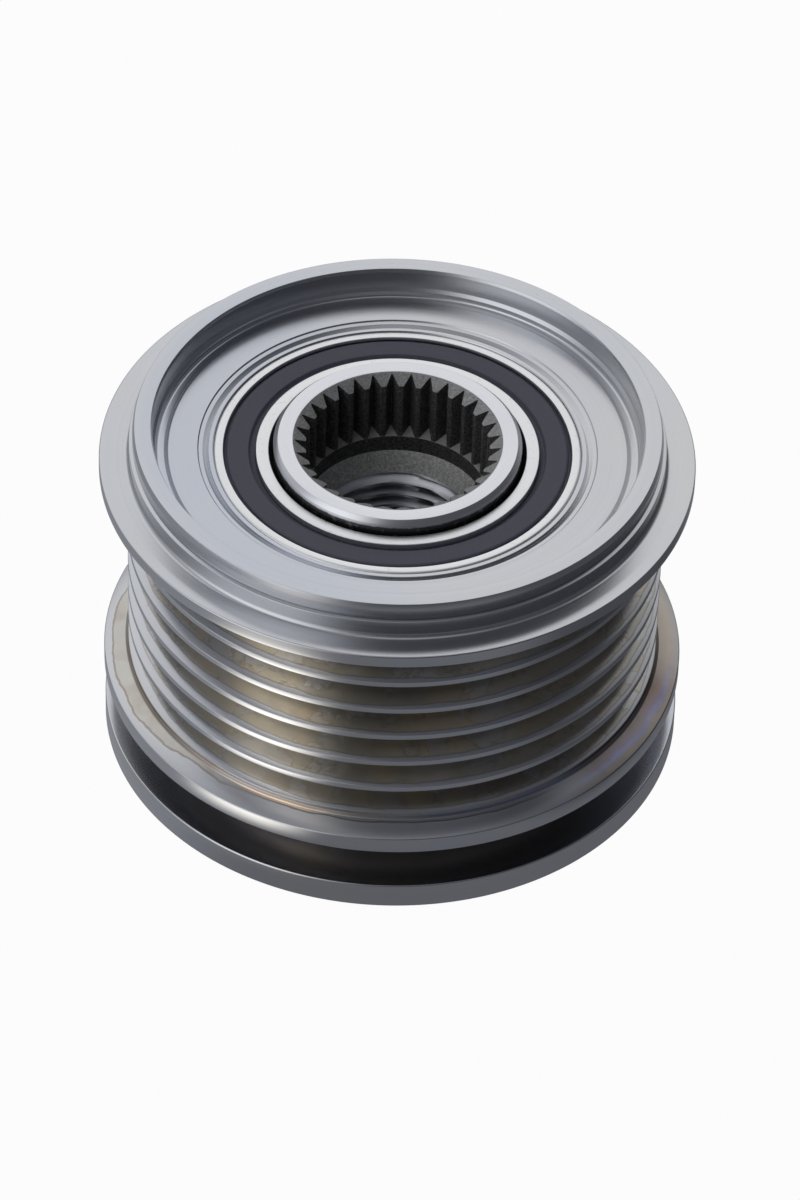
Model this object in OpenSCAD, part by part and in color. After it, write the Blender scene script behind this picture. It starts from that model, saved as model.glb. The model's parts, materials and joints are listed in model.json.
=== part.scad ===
// Overrunning alternator pulley: a grooved steel pulley on two sealed ball bearings, with a
// roller one-way clutch between them, round a hub that screws onto the alternator shaft.
// The axis is Z, the hub's rear face is at z = 0, and sizes are in millimetres.

/* [Belt track] */
// Number of V-grooves for the ribbed belt
groove_count = 6; // [5:1:8]
// Distance from one groove to the next
groove_pitch = 3.56; // [3.4:0.02:3.8]
// Width of a groove at the ridge tips
groove_opening = 2.96; // [2.7:0.02:3.1]
// Angle between the two flanks of a groove
groove_angle = 40; // [36:1:44]
// Depth of a groove below the ridge tips
groove_depth = 3; // [2.4:0.1:3.2]
// Diameter over the ridge tips
ridge_d = 54.26; // [52:0.02:56]
// Bevel along the edges of each ridge tip
ridge_bevel = 0.06; // [0.02:0.01:0.12]

/* [Flanges and rear disc] */
// Diameter of the front belt flange
front_flange_d = 60; // [58:0.1:66]
// Thickness of the front flange at its rim
front_rim_t = 1.3; // [0.8:0.1:2.5]
// Axial height of the slope from the front rim down to the first groove
front_slope_h = 1.76; // [1:0.02:3]
// Diameter of the rear belt flange
rear_flange_d = 59.2; // [58:0.1:66]
// Thickness of the rear flange at its rim
rear_rim_t = 1.8; // [1:0.1:3]
// Axial height of the slope from the last groove down to the rear rim
rear_slope_h = 1.33; // [1:0.01:2.4]
// Width of the deep groove between the rear flange and the rear disc
undercut_w = 4.8; // [3:0.1:6]
// Diameter at the bottom of that deep groove
undercut_d = 44; // [43:0.1:50]
// Diameter of the rear disc
disc_d = 59; // [54:0.1:62]
// Thickness of the rear disc
disc_t = 2.85; // [2:0.05:4]
// Radius of the fillets at the bottom of the deep groove
undercut_fillet = 0.8; // [0.3:0.1:1.3]
// Radius of the fillet where the last groove meets the rear flange
track_fillet = 0.35; // [0.2:0.05:0.6]
// Bevel round the rear opening
rear_bevel = 0.4; // [0.2:0.05:0.8]
// Bevel on the rims of the flanges and the disc
rim_bevel = 0.2; // [0.1:0.05:0.4]

/* [Front lip and recess] */
// Outer diameter of the front lip at its top
lip_top_d = 52.88; // [51.6:0.02:53.2]
// Outer diameter of the lip below its top bevel
lip_wall_d = 53.3; // [53:0.02:53.8]
// Diameter of the band at the foot of the lip
lip_foot_d = 54; // [53.9:0.02:55]
// Inner diameter of the recess for the dust cap
recess_d = 49.3; // [48:0.1:50.4]
// Depth of the recess from the lip's top to its floor
recess_depth = 2.91; // [2.4:0.01:4]
// Bevel inside the lip's top edge
recess_bevel = 0.3; // [0.1:0.05:0.6]
// How far the snap bead stands in from the recess wall
bead_h = 0.3; // [0.15:0.05:0.5]
// Height of the snap bead above the recess floor
bead_z = 0.33; // [0.3:0.01:0.5]
// Radius of the relief that runs round the corner of the recess floor
relief_r = 0.7; // [0.5:0.05:0.9]
// Axial height of the bevel round the lip's top
lip_bevel_h = 0.6; // [0.3:0.05:0.9]
// Depth of the fine groove round the lip below its top
lip_groove_z = 1.66; // [1.2:0.02:1.8]
// Width of that fine groove at its bottom
lip_groove_w = 0.08; // [0.05:0.01:0.15]
// How deep that fine groove is cut
lip_groove_depth = 0.15; // [0.1:0.01:0.25]
// Radius of the fillet where the lip meets the front flange
lip_fillet = 0.5; // [0.2:0.05:0.8]
// Width of the flat ledge round the bearing
stake_ledge = 0.4; // [0.2:0.05:0.7]
// Width of the staked groove and its bank round that ledge
stake_w = 1.12; // [0.9:0.02:1.4]
// Depth of the staked groove
stake_depth = 0.28; // [0.1:0.02:0.4]
// Height of the recess floor above the bearing's front face
floor_step = 0.19; // [0.1:0.01:0.5]
// Height of the bearing's front face above the front flange
bearing_stand = 0.65; // [0.4:0.05:1.5]

/* [Ball bearings] */
// Bore of both bearings, which is also the hub's outer diameter
bearing_bore = 25; // [23:0.1:26]
// Outer diameter of both bearings
bearing_od = 37; // [36:0.1:40]
// Width of each bearing
bearing_w = 7; // [6.5:0.1:9]
// Diameter of the balls
ball_d = 3.572; // [3.2:0.004:3.9]
// Number of balls in each bearing
ball_count = 14; // [10:1:14]
// Depth of the shoulders beside the ball tracks, from the ball's centre circle
shoulder_offset = 1.25; // [1.1:0.05:1.4]
// Radial thickness of the outer ring where its face shows
outer_rim_t = 1; // [0.8:0.05:1.1]
// Edge break on the rings
ring_bevel = 0.3; // [0.1:0.05:0.5]
// Free play between a ball and its tracks, and of the seal's lip
running_play = 0.05; // [0.03:0.01:0.1]
// Depth of the groove that holds a seal's outer bead
bead_groove = 0.25; // [0.15:0.01:0.35]
// Edge break along the ring faces beside the seal
ring_edge_break = 0.08; // [0.03:0.01:0.15]
// Bevel at the bore of the inner ring
inner_ring_bevel = 0.5; // [0.2:0.05:0.8]
// Depth of a seal's outer face below the ring faces
seal_sink = 0.12; // [0.05:0.01:0.3]
// Thickness of a seal
seal_t = 0.83; // [0.6:0.01:1]
// Width of the seal's lip, from the inner ring to the flat face
lip_w = 0.75; // [0.5:0.05:0.9]
// Radial thickness of the ball cage
cage_t = 1.5; // [1.2:0.05:1.8]
// Height of the cage's back below the balls
cage_back = 0.4; // [0.2:0.05:0.6]
// Height of the cage's horns above the balls' middle
cage_horn = 0.93; // [0.6:0.01:1.2]
// Play between a ball and its cage pocket
pocket_play = 0.08; // [0.05:0.01:0.15]

/* [One-way clutch] */
// Wall of the hardened sleeve that the rollers run on
sleeve_t = 1.2; // [0.8:0.1:1.4]
// Number of rollers, each with its own spring
roller_count = 8; // [5:1:8]
// Diameter of a roller
roller_d = 3; // [2.6:0.05:3.2]
// Tilt of each clutch ramp, which sets how hard the rollers wedge
ramp_angle = 7; // [4:0.5:9]
// Length of the plain stretch at each end of the clutch race
race_end = 2.5; // [1.5:0.1:3.5]
// Length left at each end between a roller and the plain stretch
roller_margin = 1; // [0.6:0.1:1.5]
// How far the race's lands stand beyond the rollers' centre circle
land_offset = 0.65; // [0.4:0.05:0.9]
// Free length beside a roller on the side away from its spring
roller_side_gap = 0.25; // [0.1:0.05:0.5]
// Room for a spring beside its roller
spring_room = 2.6; // [2.2:0.1:3]
// Bevel on the ends of a roller
roller_bevel = 0.2; // [0.1:0.05:0.4]
// Width of the keys that lock the clutch cage to the race
key_w = 2; // [1:0.1:3]
// Height of those keys
key_h = 0.5; // [0.3:0.05:0.8]
// Gap between the clutch cage and the sleeve
clutch_cage_gap = 0.3; // [0.1:0.05:0.5]
// Thickness of the spring strip
spring_t = 0.2; // [0.1:0.02:0.3]
// Length of a spring along the axis
spring_h = 8; // [5:0.5:9]

/* [Hub] */
// How far the hub's rear face stands behind the rear disc
hub_rear_stand = 0.75; // [0.3:0.05:1.5]
// Depth of the rear bearing's outer ring inside the rear disc
rear_lip_t = 2.25; // [1.5:0.05:3]
// How far the hub stands out of the front bearing
hub_front_stand = 1.36; // [0.8:0.02:1.8]
// How far the hub's rear collar stays inside the inner ring's shoulder
collar_inset = 0.05; // [0:0.05:0.4]
// Number of serrations for the fitting tool
serration_count = 33; // [24:1:36]
// Diameter inside the serration tips
serration_tip_d = 18.5; // [18:0.1:19]
// Diameter at the serration roots
serration_root_d = 20.7; // [20.3:0.1:21]
// Angle from the Y axis to the nearest serration groove
serration_turn = 4.4; // [0:0.1:10.9]
// Width of the flat at each serration root
serration_root_w = 0.12; // [0.05:0.01:0.2]
// Width of the flat on each serration tip
serration_tip_w = 0.55; // [0.4:0.05:0.7]
// Length of the serrations from the hub's front face
serration_len = 7.46; // [6:0.02:8]
// Mouth diameter of the countersink that trims the serration ends
countersink_d = 21.14; // [21.1:0.02:22]
// Depth of that countersink
countersink_h = 0.85; // [0.5:0.05:1.2]
// Depth of the socket's plain wall from the hub's front face
socket_depth = 9.36; // [9:0.02:10.4]
// Diameter where the socket's rough cone meets the thread's bevel
cone_foot_d = 15.6; // [15:0.1:16.4]
// Axial height of that cone
cone_h = 1.7; // [1:0.1:2.5]
// Wall diameter of the hole that holds the M16 x 1.5 thread
thread_bore_d = 14.376; // [13.8:0.004:14.6]
// Bevel at both ends of the thread
thread_bevel = 0.8; // [0.4:0.1:1]
// Diameter of the pilot bore that centres the hub on the shaft
pilot_d = 17; // [15:0.1:18]
// Depth of the pilot bore from the rear face
pilot_depth = 9.5; // [6:0.5:12]
// Bevel on the hub's edges
hub_bevel = 0.25; // [0.1:0.05:0.4]
// Distance from the hub's rim to the fine line turned in its front face
face_line_inset = 0.7; // [0.4:0.05:1]
// Half width and depth of that line
face_line = 0.06; // [0.03:0.01:0.1]

/* [Hidden] */
$fn = 96;
eps = 0.01;

// Heights along the axis, from the hub's rear face up
disc_z0 = hub_rear_stand;
disc_z1 = disc_z0 + disc_t;
rear_rim_z0 = disc_z1 + undercut_w;
rear_rim_z1 = rear_rim_z0 + rear_rim_t;
track_z0 = rear_rim_z1 + rear_slope_h;
track_z1 = track_z0 + (groove_count - 1) * groove_pitch + groove_opening;
front_rim_z0 = track_z1 + front_slope_h;
front_face_z = front_rim_z0 + front_rim_t;
front_bearing_z1 = front_face_z + bearing_stand;
front_bearing_z0 = front_bearing_z1 - bearing_w;
rear_bearing_z0 = disc_z0 + rear_lip_t;
rear_bearing_z1 = rear_bearing_z0 + bearing_w;
floor_z = front_bearing_z1 + floor_step;
lip_top_z = floor_z + recess_depth;
hub_top_z = front_bearing_z1 + hub_front_stand;

// Radii shared between pieces
ridge_r = ridge_d / 2;
root_r = ridge_r - groove_depth;
flank_h = groove_depth * tan(groove_angle / 2);
bore_r = bearing_od / 2;
hub_r = bearing_bore / 2;
ball_circle_r = (hub_r + bore_r) / 2;
track_groove_r = ball_d * 0.52;
outer_track_r = ball_circle_r + ball_d / 2 + running_play - track_groove_r;
inner_track_r = ball_circle_r - ball_d / 2 - running_play + track_groove_r;
outer_shoulder_r = ball_circle_r + shoulder_offset;
inner_shoulder_r = ball_circle_r - shoulder_offset;
collar_r = inner_shoulder_r - collar_inset;
ring_edge_r = bore_r - outer_rim_t;

// Clutch
sleeve_r = hub_r + sleeve_t;
roller_circle_r = sleeve_r + running_play + roller_d / 2;
race_z0 = rear_bearing_z1;
race_z1 = front_bearing_z0;
roller_z0 = race_z0 + race_end + roller_margin;
roller_z1 = race_z1 - race_end - roller_margin;
land_r = roller_circle_r + land_offset;
clutch_cage_r = land_r - running_play;
pocket_near = -roller_d / 2 - roller_side_gap;
pocket_far = roller_d / 2 + spring_room;

// "name_03" from a name and a number
function numbered(name, i) = str(name, "_", i < 10 ? "0" : "", i);

// Points along an arc about [r, z], from angle a0 to a1 in n steps
function arc(r, z, radius, a0, a1, n = 6) =
    [for (i = [0:n]) [r + radius * cos(a0 + (a1 - a0) * i / n), z + radius * sin(a0 + (a1 - a0) * i / n)]];

// Section of groove i, counted down from the front, with bevelled ridge tips
function groove(i) =
    let (top = track_z1 - i * groove_pitch, low = top - groove_opening)
    [[ridge_r, top + ridge_bevel],
     [ridge_r - ridge_bevel, top],
     [root_r, top - flank_h],
     [root_r, low + flank_h],
     [ridge_r - ridge_bevel, low],
     [ridge_r, low - ridge_bevel]];

// Section of the front end: staked edge round the bearing, recess floor, snap bead and lip
function front_section() =
    let (
        ledge_r = bore_r + ring_edge_break + stake_ledge,
        bank_r = ledge_r + stake_w,
        bead_r = recess_d / 2 - bead_h,
        groove_z = lip_top_z - lip_groove_z,
        groove_r = lip_wall_d / 2 - lip_groove_depth,
        foot_r = lip_foot_d / 2)
    concat(
        [[bore_r, front_bearing_z1 - ring_edge_break],
         [bore_r + ring_edge_break, front_bearing_z1],
         [ledge_r, front_bearing_z1],
         [ledge_r + stake_w * 0.1, front_bearing_z1 - stake_depth],
         [ledge_r + stake_w * 0.53, front_bearing_z1 + floor_step * 0.1],
         [ledge_r + stake_w * 0.89, front_bearing_z1 + floor_step * 0.3],
         [bank_r, floor_z]],
        arc(bead_r - relief_r, floor_z + relief_r * 0.42, relief_r, 205, 360, 8),
        [[bead_r, floor_z + bead_z],
         [bead_r + bead_h, floor_z + bead_z + bead_h],
         [bead_r + bead_h, lip_top_z - recess_bevel],
         [bead_r + bead_h + recess_bevel / 2, lip_top_z],
         [lip_top_d / 2, lip_top_z],
         [lip_wall_d / 2, lip_top_z - lip_bevel_h],
         [lip_wall_d / 2, groove_z],
         [groove_r, groove_z - lip_groove_depth / 2],
         [groove_r, groove_z - lip_groove_depth / 2 - lip_groove_w],
         [foot_r, groove_z - lip_groove_depth - lip_groove_w]],
        arc(foot_r + lip_fillet, front_face_z + lip_fillet, lip_fillet, 180, 270, 5));

// Section of the two flanges, the undercut and the rear disc, down to the rear lip
function flange_section() = concat(
    [[front_flange_d / 2 - rim_bevel, front_face_z],
     [front_flange_d / 2, front_face_z - rim_bevel],
     [front_flange_d / 2, front_rim_z0 + rim_bevel],
     [front_flange_d / 2 - rim_bevel, front_rim_z0]],
    [for (i = [0:groove_count - 1]) each groove(i)],
    arc(ridge_r + track_fillet, track_z0 - track_fillet, track_fillet, 180, 265, 4),
    [[rear_flange_d / 2 - rim_bevel, rear_rim_z1],
     [rear_flange_d / 2, rear_rim_z1 - rim_bevel],
     [rear_flange_d / 2, rear_rim_z0 + rim_bevel],
     [rear_flange_d / 2 - rim_bevel, rear_rim_z0]],
    arc(undercut_d / 2 + undercut_fillet, rear_rim_z0 - undercut_fillet, undercut_fillet, 90, 180),
    arc(undercut_d / 2 + undercut_fillet, disc_z1 + undercut_fillet, undercut_fillet, 180, 270),
    [[disc_d / 2 - rim_bevel, disc_z1],
     [disc_d / 2, disc_z1 - rim_bevel],
     [disc_d / 2, disc_z0 + rim_bevel],
     [disc_d / 2 - rim_bevel, disc_z0]]);

// The pulley is turned in one piece, with a lip at the rear that stops the rear bearing
module pulley() {
    rear_lip_r = ring_edge_r;
    color([0.62, 0.63, 0.65])
    rotate_extrude()
        polygon(concat(
            front_section(),
            flange_section(),
            [[rear_lip_r + rear_bevel, disc_z0],
             [rear_lip_r, disc_z0 + rear_bevel],
             [rear_lip_r, rear_bearing_z0],
             [bore_r, rear_bearing_z0]]));
}

// Section of the hub, from the rear collar up the outside and down through the socket and thread
function hub_section() =
    let (
        tip_r = serration_tip_d / 2,
        thread_r = thread_bore_d / 2,
        line_r = hub_r - face_line_inset,
        socket_z = hub_top_z - socket_depth,
        cone_z = socket_z - cone_h,
        pilot_r = pilot_d / 2)
    [[pilot_r + hub_bevel, 0],
     [collar_r - hub_bevel, 0],
     [collar_r, hub_bevel],
     [collar_r, rear_bearing_z0],
     [hub_r, rear_bearing_z0],
     [hub_r, hub_top_z - hub_bevel],
     [hub_r - hub_bevel, hub_top_z],
     [line_r + face_line, hub_top_z],
     [line_r, hub_top_z - face_line],
     [line_r - face_line, hub_top_z],
     [countersink_d / 2, hub_top_z],
     [tip_r, hub_top_z - countersink_h],
     [tip_r, socket_z],
     [cone_foot_d / 2, cone_z],
     [thread_r, cone_z - thread_bevel],
     [thread_r, pilot_depth + thread_bevel],
     [thread_r + thread_bevel, pilot_depth],
     [pilot_r, pilot_depth],
     [pilot_r, hub_bevel]];

// Outline of the broach that cuts the serrations: one point-ended groove for each tooth
module serration_outline() {
    step = 360 / serration_count;
    tip_r = serration_tip_d / 2 - eps;
    half_tip = asin(serration_tip_w / serration_tip_d);
    half_root = asin(serration_root_w / serration_root_d);
    polygon([for (i = [0:serration_count - 1]) each [
        tip_r * [cos(i * step + half_tip), sin(i * step + half_tip)],
        serration_root_d / 2 * [cos((i + 0.5) * step - half_root), sin((i + 0.5) * step - half_root)],
        serration_root_d / 2 * [cos((i + 0.5) * step + half_root), sin((i + 0.5) * step + half_root)],
        tip_r * [cos((i + 1) * step - half_tip), sin((i + 1) * step - half_tip)]]]);
}

// The hub carries both bearings, and has a serrated socket in front of its thread
module hub() {
    color([0.72, 0.73, 0.75])
    difference() {
        rotate_extrude()
            polygon(hub_section());
        translate([0, 0, hub_top_z - serration_len])
            rotate(90 + serration_turn - 180 / serration_count)
                linear_extrude(serration_len + hub_bevel)
                    serration_outline();
    }
}

// Half of the outer ring's section, from its face to the ball track, about the bearing's middle
module outer_ring_section() {
    h = bearing_w / 2;
    seal_floor = h - seal_sink - seal_t;
    groove_r = ring_edge_r + bead_groove;
    difference() {
        polygon([
            [outer_shoulder_r, -seal_floor],
            [ring_edge_r, -seal_floor],
            [groove_r, -seal_floor - seal_t * 0.2],
            [groove_r, -seal_floor - seal_t * 0.6],
            [ring_edge_r, -seal_floor - seal_t * 0.72],
            [ring_edge_r, ring_edge_break - h],
            [ring_edge_r + ring_edge_break, -h],
            [bore_r - ring_bevel, -h],
            [bore_r, ring_bevel - h],
            [bore_r, h - ring_bevel],
            [bore_r - ring_bevel, h],
            [ring_edge_r + ring_edge_break, h],
            [ring_edge_r, h - ring_edge_break],
            [ring_edge_r, seal_floor + seal_t * 0.72],
            [groove_r, seal_floor + seal_t * 0.6],
            [groove_r, seal_floor + seal_t * 0.2],
            [ring_edge_r, seal_floor],
            [outer_shoulder_r, seal_floor]]);
        translate([outer_track_r, 0])
            circle(track_groove_r);
    }
}

// Section of the inner ring, with its ball track and the edge break at the bore
module inner_ring_section() {
    h = bearing_w / 2;
    difference() {
        polygon([
            [hub_r, inner_ring_bevel - h],
            [hub_r + inner_ring_bevel, -h],
            [inner_shoulder_r - ring_edge_break, -h],
            [inner_shoulder_r, ring_edge_break - h],
            [inner_shoulder_r, h - ring_edge_break],
            [inner_shoulder_r - ring_edge_break, h],
            [hub_r + inner_ring_bevel, h],
            [hub_r, h - inner_ring_bevel]]);
        translate([inner_track_r, 0])
            circle(track_groove_r);
    }
}

module outer_ring() {
    color([0.78, 0.78, 0.79])
    rotate_extrude()
        outer_ring_section();
}

module inner_ring() {
    color([0.78, 0.78, 0.79])
    rotate_extrude()
        inner_ring_section();
}

// Rubber seal with its bead in the outer ring's groove and a lip over the inner ring
module seal() {
    h = bearing_w / 2;
    top = h - seal_sink;
    low = top - seal_t + 0.02;
    lip_r = inner_shoulder_r + running_play;
    bead_r = ring_edge_r + bead_groove - running_play;
    face_r = ring_edge_r - bead_groove * 2;
    color([0.27, 0.28, 0.31])
    rotate_extrude()
        polygon([
            [lip_r, low],
            [ring_edge_r - running_play, low],
            [bead_r, low + seal_t * 0.22],
            [bead_r, low + seal_t * 0.5],
            [face_r + bead_groove * 0.6, top - seal_t * 0.4],
            [face_r + bead_groove * 0.4, top - seal_t * 0.1],
            [face_r, top],
            [lip_r + lip_w, top],
            [lip_r + lip_w * 0.87, top - seal_t * 0.1],
            [lip_r + lip_w * 0.73, top - seal_t * 0.48],
            [lip_r, top - seal_t * 0.66]]);
}

// Crown cage: a ring with one snap pocket for each ball
module ball_cage() {
    color([0.72, 0.64, 0.42])
    difference() {
        rotate_extrude()
            translate([ball_circle_r - cage_t / 2, -ball_d / 2 - cage_back])
                square([cage_t, ball_d / 2 + cage_back + cage_horn]);
        for (i = [1:ball_count])
            ball_place(i)
                sphere(r = ball_d / 2 + pocket_play);
    }
}

module ball_place(i) {
    rotate(360 * (i - 1) / ball_count)
        translate([ball_circle_r, 0, 0])
            children();
}

module ball() {
    color([0.82, 0.82, 0.83])
    sphere(d = ball_d);
}

module front_bearing_place() {
    translate([0, 0, front_bearing_z0 + bearing_w / 2])
        children();
}

module rear_bearing_place() {
    translate([0, 0, rear_bearing_z0 + bearing_w / 2])
        children();
}

// Hardened sleeve pressed on the hub between the inner rings
module clutch_sleeve() {
    color([0.7, 0.7, 0.72])
    rotate_extrude()
        translate([hub_r, race_z0])
            square([sleeve_t, race_z1 - race_z0]);
}

// Room for one roller and its spring, with the slanted ramp as its outer edge
module ramp_pocket() {
    gap_r = roller_circle_r + (roller_d / 2 + running_play) / cos(ramp_angle);
    polygon([
        [pocket_near, roller_circle_r],
        [pocket_far, roller_circle_r],
        [pocket_far, gap_r + pocket_far * tan(ramp_angle)],
        [pocket_near, gap_r + pocket_near * tan(ramp_angle)]]);
}

// Notches in the race that keep its cage from turning
module key_outline(play) {
    for (i = [1:roller_count])
        rotate(360 * (i - 0.5) / roller_count)
            translate([-key_w / 2 - play, clutch_cage_r - key_h])
                square([key_w + 2 * play, 2 * key_h + play]);
}

// Outer race with a ramp for each roller, pressed in the bore between the outer rings
module clutch_race() {
    ramp_z0 = race_z0 + race_end;
    ramp_z1 = race_z1 - race_end;
    color([0.66, 0.67, 0.69])
    difference() {
        rotate_extrude()
            polygon([
                [outer_shoulder_r, race_z0],
                [bore_r, race_z0],
                [bore_r, race_z1],
                [outer_shoulder_r, race_z1],
                [outer_shoulder_r, ramp_z1],
                [land_r, ramp_z1],
                [land_r, ramp_z0],
                [outer_shoulder_r, ramp_z0]]);
        translate([0, 0, ramp_z0])
            linear_extrude(ramp_z1 - ramp_z0) {
                key_outline(running_play);
                for (i = [1:roller_count])
                    rotate(360 * i / roller_count)
                        ramp_pocket();
            }
    }
}

// Cage that spaces the rollers and backs their springs, keyed to the race
module clutch_cage() {
    z0 = race_z0 + race_end + running_play;
    length = race_z1 - race_z0 - 2 * race_end - 2 * running_play;
    color([0.16, 0.17, 0.18])
    difference() {
        translate([0, 0, z0])
            linear_extrude(length)
                difference() {
                    union() {
                        circle(clutch_cage_r);
                        key_outline(0);
                    }
                    circle(sleeve_r + clutch_cage_gap);
                }
        for (i = [1:roller_count])
            rotate(360 * i / roller_count)
                translate([pocket_near, 0, roller_z0 - running_play])
                    cube([pocket_far - pocket_near, bore_r, roller_z1 - roller_z0 + 2 * running_play]);
    }
}

module clutch_roller(i) {
    length = roller_z1 - roller_z0;
    color([0.82, 0.82, 0.83])
    rotate(360 * i / roller_count)
        translate([0, roller_circle_r, roller_z0])
            rotate_extrude()
                polygon([
                    [0, 0],
                    [roller_d / 2 - roller_bevel, 0],
                    [roller_d / 2, roller_bevel],
                    [roller_d / 2, length - roller_bevel],
                    [roller_d / 2 - roller_bevel, length],
                    [0, length]]);
}

// One side of the folded strip, s to the left of its centre line, as it climbs the first leg,
// turns round a half circle, comes down the next, and so on
function strip_side(s, x0, step, low, high) = concat(
    [[x0 - s, low]],
    arc(x0 + step / 2, high, step / 2 + s, 180, 0),
    arc(x0 + step * 1.5, low, step / 2 - s, 180, 360),
    arc(x0 + step * 2.5, high, step / 2 + s, 180, 0),
    [[x0 + step * 3 + s, low]]);

function reversed(list) = [for (i = [len(list) - 1:-1:0]) list[i]];

// Folded steel strip that pushes its roller up the ramp, with its legs along the radius
module clutch_spring(i) {
    x0 = roller_d / 2 + running_play + spring_t / 2;
    step = (pocket_far - running_play - spring_t / 2 - x0) / 3;
    low = sleeve_r + clutch_cage_gap + step / 2 + spring_t;
    high = clutch_cage_r - step / 2 - spring_t;
    color([0.75, 0.75, 0.78])
    rotate(360 * i / roller_count)
        translate([0, 0, (roller_z0 + roller_z1 - spring_h) / 2])
            linear_extrude(spring_h)
                polygon(concat(
                    strip_side(spring_t / 2, x0, step, low, high),
                    reversed(strip_side(-spring_t / 2, x0, step, low, high))));
}

pulley();
hub();
front_bearing_place() outer_ring();  // front_outer_ring
front_bearing_place() inner_ring();  // front_inner_ring
front_bearing_place() ball_cage();  // front_cage
front_bearing_place() seal();  // front_outer_seal
front_bearing_place() mirror([0, 0, 1]) seal();  // front_inner_seal
rear_bearing_place() outer_ring();  // rear_outer_ring
rear_bearing_place() inner_ring();  // rear_inner_ring
rear_bearing_place() mirror([0, 0, 1]) ball_cage();  // rear_cage
rear_bearing_place() mirror([0, 0, 1]) seal();  // rear_outer_seal
rear_bearing_place() seal();  // rear_inner_seal
clutch_race();
clutch_sleeve();
clutch_cage();
for (i = [1:ball_count]) {
    front_bearing_place() ball_place(i) ball();
    rear_bearing_place() ball_place(i) ball();
}
for (i = [1:roller_count]) {
    clutch_roller(i);
    clutch_spring(i);
}
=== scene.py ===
import json
import math

import bpy
import numpy as np
from mathutils import Matrix, Vector


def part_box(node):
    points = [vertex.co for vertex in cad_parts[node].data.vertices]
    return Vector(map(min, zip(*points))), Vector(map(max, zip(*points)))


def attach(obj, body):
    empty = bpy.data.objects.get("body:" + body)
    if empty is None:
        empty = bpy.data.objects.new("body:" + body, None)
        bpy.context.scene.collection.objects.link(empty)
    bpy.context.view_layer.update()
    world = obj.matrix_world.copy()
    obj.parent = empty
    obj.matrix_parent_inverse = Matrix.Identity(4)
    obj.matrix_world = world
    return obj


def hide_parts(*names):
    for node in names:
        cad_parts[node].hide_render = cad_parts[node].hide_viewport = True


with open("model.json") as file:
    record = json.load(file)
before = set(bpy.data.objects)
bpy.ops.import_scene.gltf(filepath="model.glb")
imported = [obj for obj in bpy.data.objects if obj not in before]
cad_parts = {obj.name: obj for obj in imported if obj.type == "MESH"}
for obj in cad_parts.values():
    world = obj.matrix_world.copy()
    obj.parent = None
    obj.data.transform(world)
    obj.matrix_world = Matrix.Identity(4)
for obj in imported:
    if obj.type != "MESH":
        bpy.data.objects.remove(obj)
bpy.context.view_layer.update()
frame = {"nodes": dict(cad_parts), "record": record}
MM = 0.001

# Camera
# The photograph looks down on the front of the pulley from 41 degrees above the belt side.
# The lens is long, and the frame is turned a little clockwise round the line of sight.
photo_w, photo_h = 800, 1200
aim_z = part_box("front_outer_ring")[1].z
aim_pixel = (397.65, 450.1)
distance = 0.7
elevation = math.radians(41.09)
roll = 0.0297
focal_px = 6968
sensor = 36

to_aim = Vector((0, math.cos(elevation), -math.sin(elevation)))
level = Vector((1, 0, 0))
upright = level.cross(to_aim)
image_x = math.cos(roll) * level + math.sin(roll) * upright
image_y = math.sin(roll) * level - math.cos(roll) * upright
across = (photo_w / 2 - aim_pixel[0]) / focal_px
down = (photo_h / 2 - aim_pixel[1]) / focal_px
forward = (to_aim + across * image_x + down * image_y).normalized()
right = (image_x - image_x.dot(forward) * forward).normalized()
axes = Matrix((right, right.cross(forward), -forward)).transposed()

camera_data = bpy.data.cameras.new("photo_camera")
camera_data.sensor_fit = "VERTICAL"
camera_data.sensor_height = sensor
camera_data.lens = focal_px * sensor / photo_h
camera_data.clip_start = 0.01
camera = bpy.data.objects.new("photo_camera", camera_data)
camera.matrix_world = Matrix.Translation(Vector((0, 0, aim_z)) - distance * to_aim) @ axes.to_4x4()
bpy.context.scene.collection.objects.link(camera)
bpy.context.scene.camera = camera
bpy.context.scene.view_settings.view_transform = "Standard"


# Floor and surroundings
# A pale floor in a studio that glows softly: a wide softbox high at the back, a strip and a pale
# wall at the left, a warm pool of light painted on the floor at the front left, and dark elsewhere.
class Value:
    """A shader socket that takes arithmetic: an expression on values adds its Math nodes."""

    def __init__(self, shader, socket):
        self.shader = shader
        self.socket = socket

    def math(self, operation, *others):
        inputs = {i: other for i, other in enumerate((self,) + others)}
        return self.shader.node("ShaderNodeMath", {"operation": operation}, inputs)

    def __add__(self, other):
        return self.math("ADD", other)

    def __sub__(self, other):
        return self.math("SUBTRACT", other)

    def __mul__(self, other):
        return self.math("MULTIPLY", other)

    def __truediv__(self, other):
        return self.math("DIVIDE", other)

    def __rsub__(self, other):
        return self.shader.node("ShaderNodeMath", {"operation": "SUBTRACT"}, {0: other, 1: self})

    __radd__ = __add__
    __rmul__ = __mul__

    def clamp(self):
        """The value held between 0 and 1."""
        return self.shader.node("ShaderNodeClamp", {}, {"Value": self})

    def step(self, low, high):
        """Rises smoothly from 0 at low to 1 at high, or falls where low is the larger."""
        settings = {"interpolation_type": "SMOOTHSTEP"}
        inputs = {"Value": self, "From Min": low, "From Max": high}
        return self.shader.node("ShaderNodeMapRange", settings, inputs)

    def band(self, centre, half_width, soft):
        """1 within half_width of centre, falling smoothly to 0 over soft on both sides."""
        return (self - centre).math("ABSOLUTE").step(half_width + soft, half_width)


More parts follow.
